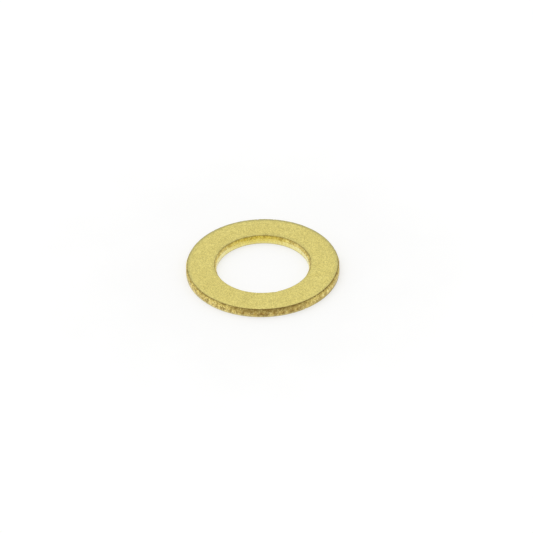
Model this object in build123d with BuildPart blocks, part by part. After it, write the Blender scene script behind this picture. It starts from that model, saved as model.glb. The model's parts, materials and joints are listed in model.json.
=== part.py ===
"""Plain flat washer for a 10 mm thread, punched out of 1 mm brass sheet.

The washer is one solid piece, lying flat: the origin is on the bore's axis at the underside, and +Z is up
along that axis. Its two cut walls have the section that a compound die leaves when it blanks the rim and
pierces the bore in one stroke. Going up from the underside, a cut wall is the rounded pull-down where the
tools entered, then the burnished land that they sheared straight, and then the break, which leans away
from the land up to the upper face. The rim was cut with the closer clearance, so its land is taller than the
bore's and its break leans less. The faces between the two walls are plain sheet.
"""

import os

from build123d import *

# Driving dimensions, in millimetres.
outer_diameter = 16.5  # across the rim's burnished land
bore_diameter = 10.0  # across the bore's burnished land
thickness = 1.0

# The section of a cut wall, as shares of the thickness.
pull_down_depth = 0.05 * thickness  # how far the rounding reaches in from the wall, along the underside
pull_down_height = 0.04 * thickness  # how far it reaches up the wall
rim_land_top = 0.72 * thickness  # where the land ends and the break begins
bore_land_top = 0.68 * thickness
rim_break_lean = 0.09 * thickness  # how far the break leans away from the land over its height
bore_break_lean = 0.15 * thickness
edge_rounding = 0.06 * thickness  # what tumbling wears off the upper edges

outer_radius = outer_diameter / 2
bore_radius = bore_diameter / 2


def cut_wall(land_radius, into_metal, land_top, break_lean):
    """Draws one cut wall upwards in the open BuildLine and returns its two ends.

    into_metal is -1 for the rim, where the metal lies nearer to the axis than the wall, and 1 for the bore.
    """
    underside_end = (land_radius + into_metal * pull_down_depth, 0)
    land_start = (land_radius, pull_down_height)
    land_end = (land_radius, land_top)
    upper_end = (land_radius + into_metal * break_lean, thickness)
    EllipticalCenterArc(
        center=(underside_end[0], pull_down_height),
        x_radius=pull_down_depth,
        y_radius=pull_down_height,
        start_angle=180 if into_metal > 0 else 270,
        arc_size=90,
    )
    Line(land_start, land_end)
    Line(land_end, upper_end)
    return underside_end, upper_end


with BuildPart() as washer:
    with BuildSketch(Plane.XZ) as section:
        with BuildLine() as outline:
            rim_underside, rim_upper = cut_wall(outer_radius, -1, rim_land_top, rim_break_lean)
            bore_underside, bore_upper = cut_wall(bore_radius, 1, bore_land_top, bore_break_lean)
            Line(bore_underside, rim_underside)
            Line(bore_upper, rim_upper)
        make_face()
        upper_corners = section.vertices().group_by(Axis.Y)[-1]
        fillet(upper_corners, radius=edge_rounding)
    revolve(axis=Axis.Z)
washer.part.label = "washer"

os.makedirs("parts", exist_ok=True)
export_step(washer.part, "parts/washer.step")
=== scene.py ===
"""A punched brass washer on a pale floor, under soft studio light.

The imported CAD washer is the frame. A dense ring mesh of the same size and section stands for it, and carries
what the punch and the tumbling barrel left: the pull-down at the underside, the wiped land, the torn break
above it with its ragged lip, and the knocks along the edges. Lengths are in metres.
"""

import json
import math
import random

import bpy
import numpy as np
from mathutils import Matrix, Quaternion, Vector, noise


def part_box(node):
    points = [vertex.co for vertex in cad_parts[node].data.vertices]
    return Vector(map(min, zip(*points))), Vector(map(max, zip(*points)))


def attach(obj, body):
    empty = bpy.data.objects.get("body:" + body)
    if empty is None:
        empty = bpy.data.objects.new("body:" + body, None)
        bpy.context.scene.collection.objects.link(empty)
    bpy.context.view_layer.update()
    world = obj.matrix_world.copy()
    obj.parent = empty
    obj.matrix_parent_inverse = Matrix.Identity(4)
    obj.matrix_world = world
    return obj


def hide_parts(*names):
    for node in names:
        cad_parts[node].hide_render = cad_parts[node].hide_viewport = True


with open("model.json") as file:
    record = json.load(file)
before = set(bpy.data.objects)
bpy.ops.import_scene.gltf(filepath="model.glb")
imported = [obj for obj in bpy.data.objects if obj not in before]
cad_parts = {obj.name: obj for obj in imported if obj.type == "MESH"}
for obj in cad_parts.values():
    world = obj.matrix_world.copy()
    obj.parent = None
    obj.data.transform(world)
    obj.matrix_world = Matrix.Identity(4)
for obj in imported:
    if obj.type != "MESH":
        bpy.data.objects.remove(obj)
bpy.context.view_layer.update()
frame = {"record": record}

MM = 0.001

# Sizes read from the frame.
low_corner, high_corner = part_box("washer")
rim_radius = (high_corner.x - low_corner.x) / 2
thickness = high_corner.z - low_corner.z
bore_mount = next(mount for mount in frame["record"]["mounts"] if mount["name"] == "bore")
bore_radius = bore_mount["dims"]["r_mm"] * MM
middle_radius = (rim_radius + bore_radius) / 2

# The section of the cut walls, in the same shares of the thickness as the CAD washer's. The metal lies nearer
# to the axis than the rim's wall, and further from it than the bore's.
pull_down_depth = 0.05 * thickness
pull_down_height = 0.04 * thickness
lip_rounding = 0.06 * thickness
rim = {
    "land_radius": rim_radius,
    "into_metal": -1,
    "land_top": 0.72 * thickness,
    "break_lean": 0.09 * thickness,
}
bore = {
    "land_radius": bore_radius,
    "into_metal": 1,
    "land_top": 0.68 * thickness,
    "break_lean": 0.15 * thickness,
}

# How far the tear line wanders up and down, and how deep the marks on the walls go.
tear_wander = 0.09 * thickness
drag_depth = 0.004 * MM
scuff_depth = 0.020 * MM
ragged_depth = 0.015 * MM
torn_depth = 0.060 * MM

# About how far the sheet's two faces sink in between the walls.
face_sag = 0.004 * MM

# Tumbling has worn the upper face down towards its two edges, and less at the inner one.
worn_depth = 0.020 * MM
worn_width = 0.22 * MM
inner_wear = 0.4

# The knocks: how many each edge has, how far they reach from their middles, how deep they are as a share of
# that, and the seed of the draws that place them.
knocks_per_edge = 9
smallest_knock = 0.09 * MM
largest_knock = 0.24 * MM
knock_depth = 0.22
knock_seed = 16

# The ring's grid.
columns = 1440
pull_down_rows = 4
land_rows = 5
break_rows = 10
lip_rows = 4
upper_face_rows = 18
underside_rows = 5

angles = np.arange(columns) * 2 * math.pi / columns


def place(radius, height):
    """The points of one row of the ring; radius and height are numbers or one value for each column."""
    radius = np.broadcast_to(radius, columns)
    height = np.broadcast_to(height, columns)
    return np.column_stack((radius * np.cos(angles), radius * np.sin(angles), height))


def relief(points, lump, octaves=3, upright=1.0):
    """Fractal noise from about -1 to 1 at each point. lump is the size of the largest lumps along the wall,
    and upright how many times taller than that they are."""
    scaled = points / lump / (1, 1, upright)
    return np.array([noise.fractal(Vector(point), 1.0, 2.0, octaves) for point in scaled])


# ---- the ring's section, row by row --------------------------------------------------------------


def wall_rows(land_radius, into_metal, land_top, break_lean):
    """One cut wall's rows from the underside up, each as (points, what kind of surface it is, how far up the
    break it is from 0 to 1)."""
    rows = []
    level = place(land_radius, 0)

    # The pull-down's quarter ellipse.
    for turn in np.linspace(0, math.pi / 2, pull_down_rows, endpoint=False):
        radius = land_radius + into_metal * pull_down_depth * (1 - math.sin(turn))
        rows.append((place(radius, pull_down_height * (1 - math.cos(turn))), "pull_down", 0))

    # The land, wiped by the tool: drag lines run up it, and the sheet gave way at an uneven height.
    tear_line = land_top + tear_wander * relief(level, 1.3 * MM, 5)
    drag = drag_depth * (1 + relief(level, 0.12 * MM, 2))
    for share in np.linspace(0, 1, land_rows, endpoint=False):
        height = pull_down_height + share * (tear_line - pull_down_height)
        points = place(land_radius, height)
        scuff = scuff_depth * np.clip(relief(points, 0.30 * MM, 3, upright=1.3) - 0.1, 0, 1)
        inset = (drag + scuff) * min(1, 4 * share)
        rows.append((place(land_radius + into_metal * inset, height), "land", 0))

    # The break, torn rather than cut: it leans away from the land and is granular.
    break_top = thickness - lip_rounding
    ragged = ragged_depth * (1 + relief(level, 0.35 * MM, 3))
    for share in np.linspace(0, 1, break_rows):
        height = tear_line + share * (break_top - tear_line)
        radius = land_radius + into_metal * (share**1.3 * break_lean + share**4 * ragged)
        points = place(radius, height)
        ridges = 1 - np.abs(relief(points, 0.22 * MM, 4, upright=1.3))
        hollow = torn_depth * (1 - ridges**3) * math.sin(math.pi * (0.06 + 0.80 * share))
        rows.append((place(radius + into_metal * hollow, height), "break", share))

    # The lip that tumbling rounded.
    for turn in np.linspace(0, math.pi / 2, lip_rows + 1)[1:]:
        radius = land_radius + into_metal * (break_lean + ragged + lip_rounding * (1 - math.cos(turn)))
        rows.append((place(radius, break_top + lip_rounding * math.sin(turn)), "lip", 1))
    return rows


def face_rows(from_radius, to_radius, height, sag, count):
    """The rows of a flat face between two walls, closer together beside the walls. sag is how deep the
    sheet's own unevenness goes, upwards if it is positive."""
    rows = []
    for share in np.linspace(0, 1, count + 2)[1:-1]:
        eased = (1 - math.cos(math.pi * share)) / 2
        points = place(from_radius + eased * (to_radius - from_radius), height)
        points[:, 2] += sag * (1 + relief(points, 2.6 * MM, 2)) * math.sin(math.pi * share)
        rows.append((points, "face", 0))
    return rows


def upper_edge(wall):
    """The radius at which the upper face ends at one wall."""
    return wall["land_radius"] + wall["into_metal"] * (wall["break_lean"] + lip_rounding)


def section_rows():
    """All rows once round the section: up the rim, inwards, down the bore and out along the underside."""
    lower_ends = [wall["land_radius"] + wall["into_metal"] * pull_down_depth for wall in (bore, rim)]
    upper = face_rows(upper_edge(rim), upper_edge(bore), thickness, -face_sag, upper_face_rows)
    lower = face_rows(*lower_ends, 0, face_sag, underside_rows)
    return wall_rows(**rim) + upper + wall_rows(**bore)[::-1] + lower


def margins(points):
    """How worn the upper face is: 1 at its outer edge, inner_wear at its inner one, and 0 between them."""
    radius = np.hypot(points[:, 0], points[:, 1])
    from_rim = np.clip(upper_edge(rim) - radius, 0, None)
    from_bore = np.clip(radius - upper_edge(bore), 0, None)
    return np.exp(-((from_rim / worn_width) ** 2)) + inner_wear * np.exp(-((from_bore / worn_width) ** 2))


def wear(points):
    """Wears the upper face down along its edges; the walls beneath lose the same share of their height."""
    points[:, 2] *= 1 - margins(points) * worn_depth / thickness
    return points


def knock(points, draw):
    """Presses small dents into the edges, each towards the middle of the section beneath it."""
    around = np.arctan2(points[:, 1], points[:, 0])
    middle = np.column_stack(
        (middle_radius * np.cos(around), middle_radius * np.sin(around), np.full(len(points), thickness / 2))
    )
    inwards = middle - points
    inwards /= np.linalg.norm(inwards, axis=1)[:, None]
    edges = [
        (rim_radius - rim["break_lean"], thickness),
        (bore_radius + bore["break_lean"], thickness),
        (rim_radius, pull_down_height),
    ]
    for edge_radius, edge_height in edges * knocks_per_edge:
        turn = draw.uniform(0, 2 * math.pi)
        size = draw.uniform(smallest_knock, largest_knock)
        centre = (edge_radius * math.cos(turn), edge_radius * math.sin(turn), edge_height)
        nearness = np.clip(1 - np.sum((points - centre) ** 2, axis=1) / size**2, 0, 1)
        points += inwards * (knock_depth * size * nearness**2)[:, None]
    return points


def ring_mesh():
    """The washer's mesh, with the kind of surface stored on its points for the material to read."""
    rows = section_rows()
    points = wear(np.concatenate([row for row, kind, share in rows]))
    points = knock(points, random.Random(knock_seed))
    faces = []
    for row in range(len(rows)):
        here, above = row * columns, (row + 1) % len(rows) * columns
        for column in range(columns):
            beside = (column + 1) % columns
            faces.append((here + column, here + beside, above + beside, above + column))
    mesh = bpy.data.meshes.new("washer_ring")
    mesh.from_pydata(points.tolist(), [], faces)
    mesh.shade_smooth()
    flags = {
        "torn": [float(kind == "break") for row, kind, share in rows],
        "wiped": [float(kind in ("land", "pull_down")) for row, kind, share in rows],
        "upper": [share for row, kind, share in rows],
        "lip": [float(kind == "lip") for row, kind, share in rows],
        "outside": [float(kind != "face" and row[0, 0] > middle_radius) for row, kind, share in rows],
    }
    flags = {name: np.repeat(values, columns) for name, values in flags.items()}
    bordering = np.repeat([kind in ("face", "lip") for row, kind, share in rows], columns)
    flags["margin"] = margins(points) * bordering
    for name, values in flags.items():
        attribute = mesh.attributes.new(name, "FLOAT", "POINT")
        attribute.data.foreach_set("value", values.astype(np.float32))
    return mesh


# ---- materials -----------------------------------------------------------------------------------


class Shader:
    """A new Principled material, and short ways to add nodes to it. Each call returns an output socket."""

    def __init__(self, name, **plain):
        self.material = bpy.data.materials.new(name)
        self.material.use_nodes = True
        self.nodes = self.material.node_tree.nodes
        self.surface = self.nodes["Principled BSDF"]
        for socket, value in plain.items():
            self.surface.inputs[socket].default_value = value

    def add(self, kind, inputs, **settings):
        node = self.nodes.new(kind)
        for name, value in settings.items():
            setattr(node, name, value)
        for socket, value in inputs.items():
            self.feed(node.inputs[socket], value)
        return node

    def feed(self, socket, value):
        if isinstance(value, bpy.types.NodeSocket):
            self.material.node_tree.links.new(value, socket)
        else:
            socket.default_value = value

    def position(self, stretch=(1, 1, 1), turn=0.0):
        """The place on the object in millimetres, turned about the axis and then stretched."""
        here = self.add("ShaderNodeTexCoord", {}).outputs["Object"]
        inputs = {"Vector": here, "Rotation": (0, 0, turn), "Scale": [s / MM for s in stretch]}
        return self.add("ShaderNodeMapping", inputs).outputs[0]

    def noise(self, vector, per_mm, detail=2.0, roughness=0.5):
        inputs = {"Vector": vector, "Scale": per_mm, "Detail": detail, "Roughness": roughness}
        return self.add("ShaderNodeTexNoise", inputs).outputs["Fac"]

    def along(self, vector, direction):
        """How far vector reaches along direction."""
        node = self.add("ShaderNodeVectorMath", {0: vector, 1: direction}, operation="DOT_PRODUCT")
        return node.outputs["Value"]

    def attribute(self, name):
        return self.add("ShaderNodeAttribute", {}, attribute_name=name).outputs["Fac"]

    def math(self, operation, first, second, clamp=False):
        node = self.add("ShaderNodeMath", {0: first, 1: second}, operation=operation, use_clamp=clamp)
        return node.outputs[0]

    def span(self, value, low, high, to_low=0.0, to_high=1.0):
        """value carried from the span low..high to to_low..to_high, and held inside it."""
        inputs = {"Value": value, "From Min": low, "From Max": high, "To Min": to_low, "To Max": to_high}
        return self.add("ShaderNodeMapRange", inputs).outputs["Result"]

    def mix(self, share, first, second):
        node = self.add("ShaderNodeMix", {"Factor": share}, data_type="RGBA")
        self.feed(node.inputs[6], first)
        self.feed(node.inputs[7], second)
        return node.outputs[2]

    def bump(self, height, depth, normal=None):
        inputs = {"Height": height, "Distance": depth, "Strength": 1.0}
        if normal is not None:
            inputs["Normal"] = normal
        return self.add("ShaderNodeBump", inputs).outputs["Normal"]


# Base colours of the metal, as linear red, green, blue and alpha.
paint = {
    "sheet": (0.750, 0.652, 0.214, 1),
    "pale sheet": (0.790, 0.692, 0.234, 1),
    "blotch": (0.690, 0.590, 0.188, 1),
    "grain": (0.44, 0.375, 0.11, 1),
    "scratch": (0.84, 0.76, 0.34, 1),
    "pit": (0.45, 0.36, 0.10, 1),
    "tarnish_and_painted_edge_line": (0.34, 0.32, 0.14, 1),
    "dark gold": (0.56, 0.39, 0.025, 1),
    "gold": (0.84, 0.70, 0.09, 1),
    "bore land": (0.84, 0.73, 0.27, 1),
    "pale bore land": (1.0, 0.95, 0.50, 1),
    "rim land": (0.58, 0.41, 0.09, 1),
    "pale rim land": (0.98, 0.81, 0.29, 1),
    "dull rim land": (0.32, 0.22, 0.05, 1),
    "painted rim glint": (1.0, 0.94, 0.46, 1),
    "painted rim foot highlight": (1.0, 0.94, 0.52, 1),
    "bore break": (0.74, 0.56, 0.13, 1),
    "pale bore break": (1.0, 0.90, 0.38, 1),
    "rim break": (0.38, 0.26, 0.06, 1),
    "pale rim break": (1.0, 0.87, 0.31, 1),
    "dull break": (0.40, 0.27, 0.06, 1),
    "stain_and_painted_shade": (0.26, 0.15, 0.035, 1),
    "painted_edge_shade": (0.20, 0.125, 0.03, 1),
    "painted_foot_shade": (0.42, 0.34, 0.12, 1),
}


def brass():
    """Tumbled sheet brass. The face is matte, with fine grain, pits and hair scratches, and darker along its
    edges: tarnish, deepened into a painted dark edge line that is strongest on the side towards +Y. Each
    wall's land is drawn into upright streaks and its break is granular, and the rim's land carries painted
    glints. The bore is deeper gold on one side. The rim is duller than the bore, and darker along its front
    side towards -Y, with a stain and painted shade. The tops of the breaks and the lips carry painted shade,
    more of it towards the front and +X. Painted shade lies low on the walls and reaches higher on the rim
    towards +X, where the painted highlight at the rim's foot fades."""
    shader = Shader("brass", Metallic=1.0)
    rim_mm = rim_radius / MM
    bore_mm = bore_radius / MM
    here = shader.position()
    torn = shader.attribute("torn")
    wiped = shader.attribute("wiped")
    upper = shader.attribute("upper")
    lip = shader.attribute("lip")
    outside = shader.attribute("outside")
    margin = shader.attribute("margin")

    # Patterns, each with about how many lumps it has per millimetre. The upper face lies 1 mm up, where noise
    # with a whole number of lumps per millimetre is almost plain, so the grain and the pits keep off whole
    # numbers.
    clouds = shader.noise(here, 0.45, 3)
    blotches = shader.noise(here, 1.7, 4, 0.6)
    patches = shader.noise(shader.position((1, 1, 0.8)), 2.4, 4, 0.65)
    grain = shader.noise(here, 8.5, 4, 0.75)
    crumbs = shader.noise(shader.position((1, 1, 0.8)), 6.5, 5, 0.75)
    streaks = shader.noise(shader.position((1, 1, 0.2)), 6.0, 4, 0.7)
    pits = shader.span(shader.noise(here, 12.5, 2, 0.5), 0.62, 0.72)
    scratches = None
    for turn in (0.4, 1.5, 2.6):
        strands = shader.noise(shader.position((0.4, 16, 0.5), turn), 1.0, 3, 0.6)
        line = shader.span(strands, 0.62, 0.72)
        scratches = line if scratches is None else shader.math("MAXIMUM", scratches, line)

    # How far a place lies towards the ring's front side (-Y), where the stain and painted shade are, towards
    # its front and +X, where the painted shade on the breaks and lips is stronger, and along +X.
    across = shader.along(here, (0.1, -0.99, 0))
    painted_shade_side = shader.along(here, (0.64, -0.77, 0))
    sideways = shader.along(here, (1, 0, 0))

    # Colour of the face.
    sheet = shader.mix(shader.span(clouds, 0.35, 0.65), paint["sheet"], paint["pale sheet"])
    sheet = shader.mix(shader.span(blotches, 0.45, 0.75, 0, 0.35), sheet, paint["blotch"])
    sheet = shader.mix(shader.span(grain, 0.40, 0.62, 0, 0.92), sheet, paint["grain"])
    sheet = shader.mix(shader.math("MULTIPLY", scratches, 0.25), sheet, paint["scratch"])
    sheet = shader.mix(shader.math("MULTIPLY", pits, 0.45), sheet, paint["pit"])
    # Tarnish along the face's edges, deepened into a painted dark edge line that is strongest on the side
    # towards +Y.
    tarnish_and_painted_edge_line = shader.math("MULTIPLY", margin, shader.span(patches, 0.35, 0.6, 0.5, 1.0))
    tarnish_and_painted_edge_line = shader.math("MULTIPLY", tarnish_and_painted_edge_line, shader.span(across, -rim_mm, rim_mm, 1.0, 0.15))
    sheet = shader.mix(tarnish_and_painted_edge_line, sheet, paint["tarnish_and_painted_edge_line"])

    # Colour of the walls. The bore is deeper gold on one side, less so low down. The rim's dull patches get
    # weaker towards +X, and so does the painted highlight at its foot.
    height = shader.along(here, (0, 0, MM / thickness))
    gilt = shader.mix(shader.span(crumbs, 0.42, 0.56), paint["dark gold"], paint["gold"])
    gold = shader.span(across, -0.65 * bore_mm, -0.98 * bore_mm)
    bore_land = shader.mix(shader.span(streaks, 0.35, 0.65), paint["bore land"], paint["pale bore land"])
    land_gold = shader.math("MULTIPLY", gold, shader.span(height, 0.05, 0.40, 0.15, 0.70))
    bore_land = shader.mix(land_gold, bore_land, gilt)
    rim_land = shader.mix(shader.span(streaks, 0.38, 0.62), paint["rim land"], paint["pale rim land"])
    dull = shader.span(sideways, 0.3 * rim_mm, 0.6 * rim_mm, 0.95, 0.65)
    dull = shader.math("MULTIPLY", shader.span(patches, 0.47, 0.58), dull)
    rim_land = shader.mix(dull, rim_land, paint["dull rim land"])
    # Painted glints: bright specks on the rim's land where the crumbs peak.
    rim_land = shader.mix(shader.span(crumbs, 0.54, 0.62, 0, 0.9), rim_land, paint["painted rim glint"])
    # A painted highlight low on the rim's land, weaker towards +X.
    painted_foot_highlight = shader.span(sideways, 0.5 * rim_mm, 0.9 * rim_mm, 0.5, 0)
    painted_foot_highlight = shader.math("MULTIPLY", shader.span(height, 0.06, 0.30, 1, 0), painted_foot_highlight)
    rim_land = shader.mix(painted_foot_highlight, rim_land, paint["painted rim foot highlight"])
    bore_break = shader.mix(shader.span(crumbs, 0.40, 0.58), paint["bore break"], paint["pale bore break"])
    bore_break = shader.mix(shader.math("MULTIPLY", gold, 0.8), bore_break, gilt)
    rim_break = shader.mix(shader.span(crumbs, 0.40, 0.58), paint["rim break"], paint["pale rim break"])
    land = shader.mix(outside, bore_land, rim_land)
    broken = shader.mix(outside, bore_break, rim_break)
    broken = shader.mix(shader.span(patches, 0.44, 0.60, 0, 0.55), broken, paint["dull break"])
    metal = shader.mix(wiped, sheet, land)
    metal = shader.mix(torn, metal, broken)

    # The rim made darker along its front side, towards -Y: a stain, and painted shade.
    stain_and_painted_shade = shader.math("MULTIPLY", shader.span(across, 0.82 * rim_mm, rim_mm), outside)
    stain_and_painted_shade = shader.math("MULTIPLY", stain_and_painted_shade, shader.span(height, 0.08, 0.30, 0.35, 1.0))
    stain_and_painted_shade = shader.math("MULTIPLY", stain_and_painted_shade, shader.span(patches, 0.35, 0.6, 0.35, 0.75))
    metal = shader.mix(stain_and_painted_shade, metal, paint["stain_and_painted_shade"])

    # Painted shade at the top of the breaks and on the lips, stronger towards the front and +X.
    painted_edge_shade = shader.span(crumbs, 0.30, 0.65, 0.75, 0.3)
    painted_edge_shade = shader.math("MULTIPLY", shader.math("POWER", upper, 3.0), painted_edge_shade)
    more_painted_shade_side = shader.span(painted_shade_side, -0.4 * rim_mm, 0.95 * rim_mm, 0.8, 1.3)
    painted_edge_shade = shader.math("MULTIPLY", painted_edge_shade, more_painted_shade_side)
    painted_lip_shade = shader.math("MULTIPLY", lip, shader.span(patches, 0.35, 0.6, 0.5, 1.0))
    lip_painted_shade_side = shader.span(painted_shade_side, 0.4 * rim_mm, 0.85 * rim_mm, 0.3, 1.0)
    painted_lip_shade = shader.math("MULTIPLY", painted_lip_shade, lip_painted_shade_side)
    painted_edge_shade = shader.math("MAXIMUM", painted_edge_shade, painted_lip_shade)
    metal = shader.mix(painted_edge_shade, metal, paint["painted_edge_shade"])

    # Painted shade low on the walls, which reaches higher on the rim towards +X.
    shade = shader.math("MULTIPLY", outside, shader.span(sideways, 0.45 * rim_mm, 0.85 * rim_mm))
    shade = shader.math("MULTIPLY", shade, shader.span(height, 0.30, 0.10, 0, 0.95))
    painted_foot_shade = shader.math("MAXIMUM", shader.span(height, 0.13, 0.03, 0, 0.6), shade)
    metal = shader.mix(painted_foot_shade, metal, paint["painted_foot_shade"])
    shader.feed(shader.surface.inputs["Base Color"], metal)

    # Roughness.
    rough = shader.span(blotches, 0.3, 0.7, 0.38, 0.50)
    rough = shader.math("SUBTRACT", rough, shader.math("MULTIPLY", scratches, 0.12))
    rough = shader.math("SUBTRACT", rough, shader.math("MULTIPLY", wiped, 0.20))
    rough = shader.math("ADD", rough, shader.math("MULTIPLY", outside, 0.16))
    shader.feed(shader.surface.inputs["Roughness"], rough)

    # Relief too fine for the mesh.
    flat = shader.math("SUBTRACT", 1.0, shader.math("MAXIMUM", torn, wiped), clamp=True)
    chipped = shader.math("MULTIPLY", shader.math("MULTIPLY", wiped, outside), patches)
    normal = shader.bump(shader.math("MULTIPLY", grain, flat), 0.012 * MM)
    normal = shader.bump(shader.math("MULTIPLY", pits, -1.0), 0.005 * MM, normal)
    normal = shader.bump(shader.math("MULTIPLY", scratches, -1.0), 0.003 * MM, normal)
    normal = shader.bump(shader.math("MULTIPLY", streaks, wiped), 0.010 * MM, normal)
    normal = shader.bump(chipped, 0.060 * MM, normal)
    normal = shader.bump(shader.math("MULTIPLY", crumbs, torn), 0.060 * MM, normal)
    shader.feed(shader.surface.inputs["Normal"], normal)
    return shader.material


# The floor's own glow, its greys in the middle, painted darker as shade round the washer, and further out,
# and the distances in mm between which the one gives way to the other.
floor_glow = 0.50
floor_middle_painted_shade = 0.436
floor_outside = 0.471
dim_from = 12
dim_to = 30


def floor_paint():
    """Matt white acrylic, lit from beneath. Its grey is painted a trace darker in the middle, where the washer
    lies, as shade round it.
    """
    shader = Shader("floor_paint", Roughness=0.9)
    shader.surface.inputs["Specular IOR Level"].default_value = 0.0
    shader.surface.inputs["Emission Color"].default_value = (1, 1, 1, 1)
    shader.surface.inputs["Emission Strength"].default_value = floor_glow
    from_middle = shader.add("ShaderNodeVectorMath", {0: shader.position()}, operation="LENGTH")
    clouds = shader.noise(shader.position(), 0.12, 3)
    reach = shader.math("ADD", from_middle.outputs["Value"], shader.span(clouds, 0.3, 0.7, -4, 4))
    outwards = shader.span(reach, dim_from, dim_to)
    greys = [(grey, grey, grey, 1) for grey in (floor_middle_painted_shade, floor_outside)]
    shader.feed(shader.surface.inputs["Base Color"], shader.mix(outwards, *greys))
    return shader.material


# ---- the washer ----------------------------------------------------------------------------------


def make_washer():
    washer = bpy.data.objects.new("washer_ring", ring_mesh())
    bpy.context.scene.collection.objects.link(washer)
    washer.data.materials.append(brass())
    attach(washer, "root")
    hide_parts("washer")


# ---- floor, light and camera ---------------------------------------------------------------------


def make_floor():
    reach = 200 * rim_radius
    mesh = bpy.data.meshes.new("floor")
    corners = [(-reach, -reach, 0), (reach, -reach, 0), (reach, reach, 0), (-reach, reach, 0)]
    mesh.from_pydata(corners, [], [(0, 1, 2, 3)])
    mesh.materials.append(floor_paint())
    floor = bpy.data.objects.new("floor", mesh)
    bpy.context.scene.collection.objects.link(floor)


# The low walls of the room: how far round to the front each place is, and how bright the wall is there.
low_walls = ((0.1, 0.75), (0.35, 1.25), (0.75, 1.2), (0.95, 0.08))

# How steeply a direction rises where the low walls begin to give way to white, and where they are gone.
walls_fade_from = 0.06
walls_gone_at = 0.38


def make_room():
    """White walls and ceiling. Low down, the walls at the two sides are brightest, the one behind is dimmer,
    and the one in front, where the camera is, is dark."""
    world = bpy.data.worlds.new("room")
    world.use_nodes = True
    bpy.context.scene.world = world
    nodes, links = world.node_tree.nodes, world.node_tree.links
    direction = nodes.new("ShaderNodeTexCoord").outputs["Generated"]

    # How far round to the front a direction points, from 0 behind to 1 in front, and the low wall there.
    facing = nodes.new("ShaderNodeVectorMath")
    facing.operation = "DOT_PRODUCT"
    facing.inputs[1].default_value = Vector((0.2, -0.98, 0.0)) / 2
    links.new(direction, facing.inputs[0])
    round_to_front = nodes.new("ShaderNodeMath")
    round_to_front.inputs[1].default_value = 0.5
    links.new(facing.outputs["Value"], round_to_front.inputs[0])
    low_wall = nodes.new("ShaderNodeValToRGB")
    low_wall.color_ramp.interpolation = "EASE"
    stops = low_wall.color_ramp.elements
    while len(stops) < len(low_walls):
        stops.new(0.5)
    for stop, (place_round, brightness) in zip(stops, low_walls):
        stop.position = place_round
        stop.color = (brightness, brightness, 0.98 * brightness, 1)
    links.new(round_to_front.outputs[0], low_wall.inputs["Fac"])

    # The low walls give way to the plain white above them.
    parts = nodes.new("ShaderNodeSeparateXYZ")
    links.new(direction, parts.inputs[0])
    low = nodes.new("ShaderNodeMapRange")
    low.interpolation_type = "SMOOTHSTEP"
    low.inputs["From Min"].default_value = walls_gone_at
    low.inputs["From Max"].default_value = walls_fade_from
    links.new(parts.outputs["Z"], low.inputs["Value"])
    mix = nodes.new("ShaderNodeMix")
    mix.data_type = "RGBA"
    mix.inputs[6].default_value = (0.89, 0.89, 0.88, 1)
    links.new(low_wall.outputs["Color"], mix.inputs[7])
    links.new(low.outputs["Result"], mix.inputs[0])
    links.new(mix.outputs[2], nodes["Background"].inputs["Color"])


def make_key_light():
    """One very wide soft source, high on the left and a little behind."""
    light = bpy.data.lights.new("key", "SUN")
    light.energy = 0.745
    light.angle = math.radians(60)
    key = bpy.data.objects.new("key", light)
    towards_light = Vector((-0.25, 0.25, 0.94))
    key.rotation_mode = "QUATERNION"
    key.rotation_quaternion = towards_light.to_track_quat("Z", "Y")
    bpy.context.scene.collection.objects.link(key)


def make_camera():
    """A long lens that looks down at the washer and a little to the right of its middle."""
    lens = bpy.data.cameras.new("camera")
    lens.lens = 1000
    lens.sensor_width = 36
    elevation = math.radians(36.65)
    roll = math.radians(-1.3)
    view_width = 6.946 * rim_radius
    aim_right = 0.0491 * rim_radius
    aim_up = 0.0136 * rim_radius
    distance = view_width * lens.lens / lens.sensor_width
    back = Vector((0, -math.cos(elevation), math.sin(elevation)))
    turn = (-back).to_track_quat("-Z", "Y") @ Quaternion((0, 0, 1), roll)
    aim = Vector((0, 0, thickness / 2)) + turn @ Vector((aim_right, aim_up, 0))
    camera = bpy.data.objects.new("camera", lens)
    camera.rotation_mode = "QUATERNION"
    camera.rotation_quaternion = turn
    camera.location = aim + back * distance
    lens.clip_start = distance * 0.1
    lens.clip_end = distance * 100
    bpy.context.scene.collection.objects.link(camera)
    bpy.context.scene.camera = camera


make_washer()
make_floor()
make_room()
make_key_light()
make_camera()
bpy.context.scene.view_settings.view_transform = "Standard"
